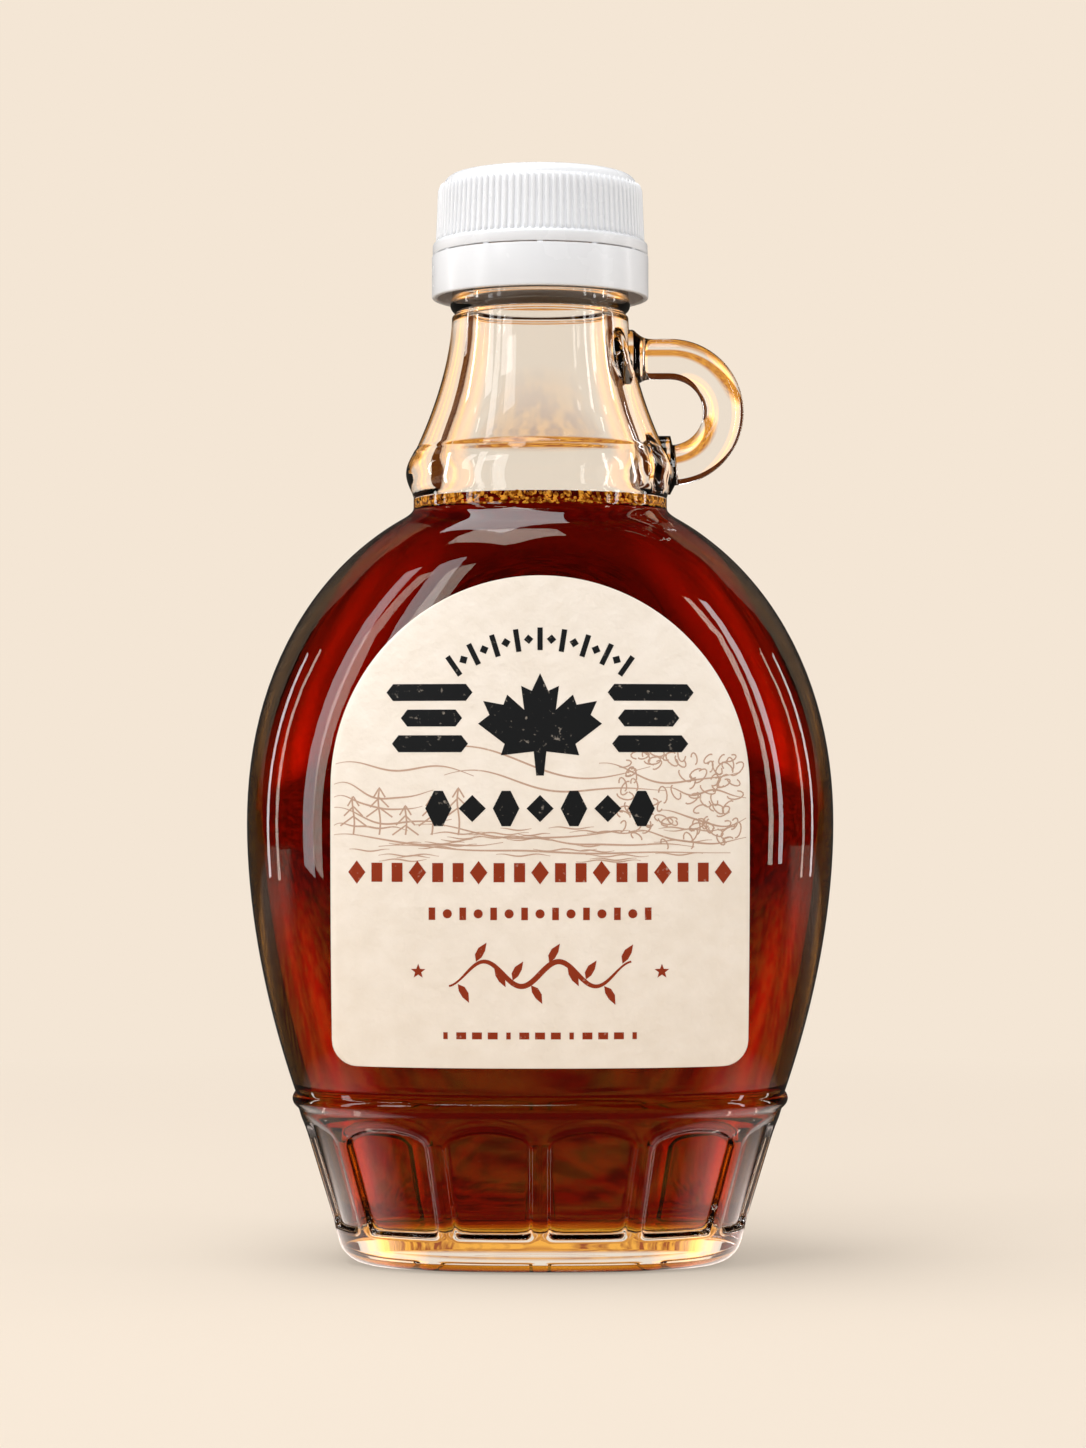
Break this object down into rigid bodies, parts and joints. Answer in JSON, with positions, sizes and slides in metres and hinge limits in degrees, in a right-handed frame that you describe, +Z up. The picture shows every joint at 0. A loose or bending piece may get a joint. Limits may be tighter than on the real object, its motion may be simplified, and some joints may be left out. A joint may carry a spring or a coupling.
{
  "type": "maple syrup jug",
  "caption": "Small oval glass syrup jug with a fluted base, a finger loop at its neck, a ribbed white screw cap and an arched paper label, filled with syrup.",
  "frame": {"origin": "centre of the foot on the table", "axes": "+Z up along the neck's axis, +X towards the finger loop, the label faces -Y"},
  "size_m": [0.0835, 0.0504, 0.1549],
  "materials": {
    "clear_glass": "clear, smooth, polished soda-lime glass",
    "maple_syrup": "clear dark amber syrup",
    "label_paper": "cream uncoated label paper with a faint fibre",
    "white_cap": "smooth white moulded polypropylene"
  },
  "bodies": {
    "root": {"glass_jug": "clear_glass", "syrup": "maple_syrup", "label": "label_paper", "cap": "white_cap", "tamper_band": "white_cap"}
  },
  "joints": []
}
